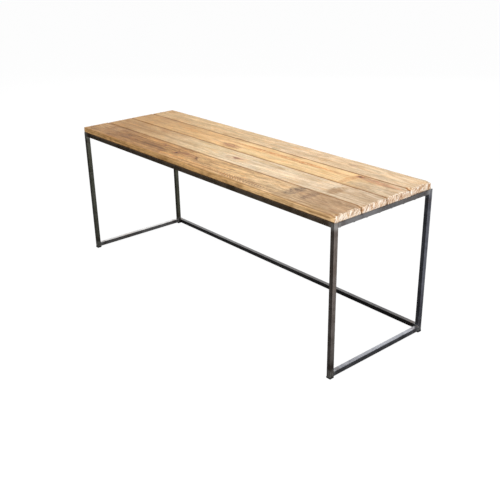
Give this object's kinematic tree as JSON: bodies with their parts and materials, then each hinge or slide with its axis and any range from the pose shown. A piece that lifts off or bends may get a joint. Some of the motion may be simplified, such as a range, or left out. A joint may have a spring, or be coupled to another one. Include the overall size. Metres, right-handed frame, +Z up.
{
  "type": "bench",
  "caption": "Low entryway bench: slim welded square-tube steel frame, open underneath, with long reclaimed-wood planks as the seat.",
  "frame": {"origin": "on the floor, under the middle of the bench's footprint", "axes": "+X along the bench to its right end as seen from the front, +Y from the front to the back, +Z up"},
  "size_m": [1.202, 0.382, 0.455],
  "materials": {
    "tube_steel": "raw dark mill steel, clear sealed, slightly mottled, ground bright at the joints",
    "weld_steel": "rippled weld bead, sealed",
    "screw_zinc": "zinc plated",
    "foot_plastic": "moulded, fine matt texture",
    "plank_front_wood": "reclaimed pine, weathered and waxed, golden front edge",
    "plank_front_middle_wood": "reclaimed pine, pale, with a small red-brown knot",
    "plank_back_middle_wood": "reclaimed pine, orange and yellow streaks",
    "plank_back_wood": "reclaimed pine, tan"
  },
  "bodies": {
    "root": {"cross_brace_1": "tube_steel", "cross_brace_2": "tube_steel", "foot_cap_back_left": "foot_plastic", "foot_cap_back_right": "foot_plastic", "foot_cap_front_left": "foot_plastic", "foot_cap_front_right": "foot_plastic", "leg_back_left": "tube_steel", "leg_back_right": "tube_steel", "leg_front_left": "tube_steel", "leg_front_right": "tube_steel", "leg_top_plates": "tube_steel", "low_rail_back": "tube_steel", "low_rail_left": "tube_steel", "low_rail_right": "tube_steel", "plank_screws_1": "screw_zinc", "plank_screws_2": "screw_zinc", "plank_screws_3": "screw_zinc", "plank_screws_4": "screw_zinc", "seat_plank_back": "plank_back_wood", "seat_plank_back_middle": "plank_back_middle_wood", "seat_plank_front": "plank_front_wood", "seat_plank_front_middle": "plank_front_middle_wood", "top_rail_back": "tube_steel", "top_rail_front": "tube_steel", "top_rail_left": "tube_steel", "top_rail_right": "tube_steel", "welds_cross_braces": "weld_steel", "welds_low_rails": "weld_steel", "welds_top_rails": "weld_steel"}
  },
  "joints": []
}
